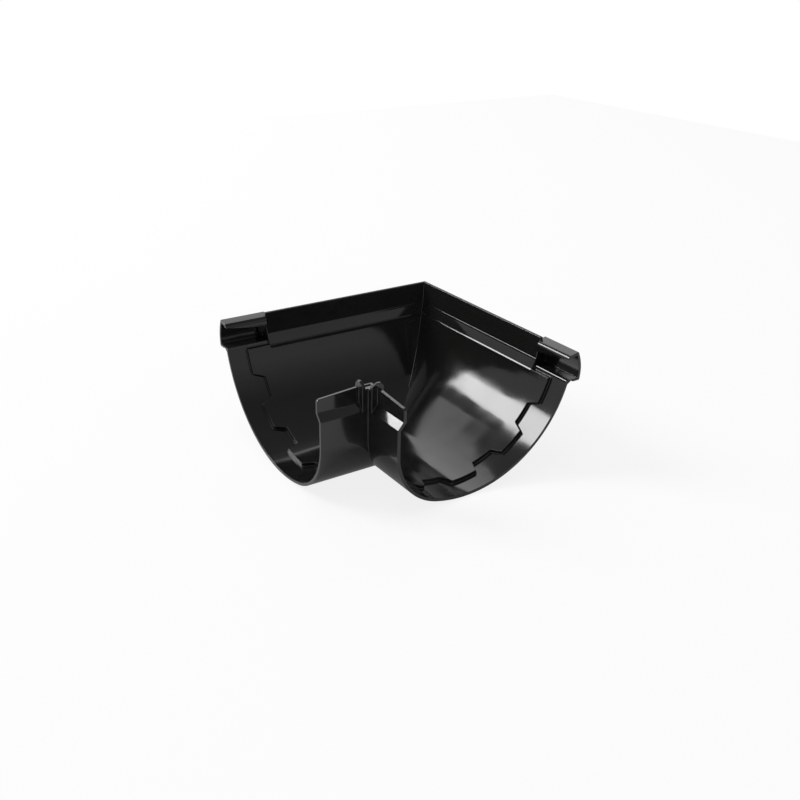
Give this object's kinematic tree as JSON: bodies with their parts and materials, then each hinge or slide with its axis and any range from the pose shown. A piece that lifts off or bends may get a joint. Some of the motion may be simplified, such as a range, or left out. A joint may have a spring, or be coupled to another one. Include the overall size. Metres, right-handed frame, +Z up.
{
  "type": "gutter external angle",
  "caption": "One-piece moulded outside corner that joins two runs of deep half-round rainwater gutter at a right angle, with hooked bead sockets and stepped stops.",
  "frame": {"origin": "middle of the whole seen from above, level with the lowest line of the two troughs", "axes": "+X out of one mouth, -Y out of the other, +Z up; the front walls lie towards +Y and -X, the near walls face -Y and +X"},
  "size_m": [0.1658, 0.1658, 0.0766],
  "materials": {
    "black_plastic": "glossy black injection-moulded PVC-U, even and unworn"
  },
  "bodies": {
    "root": {"gutter_angle": "black_plastic"}
  },
  "joints": []
}
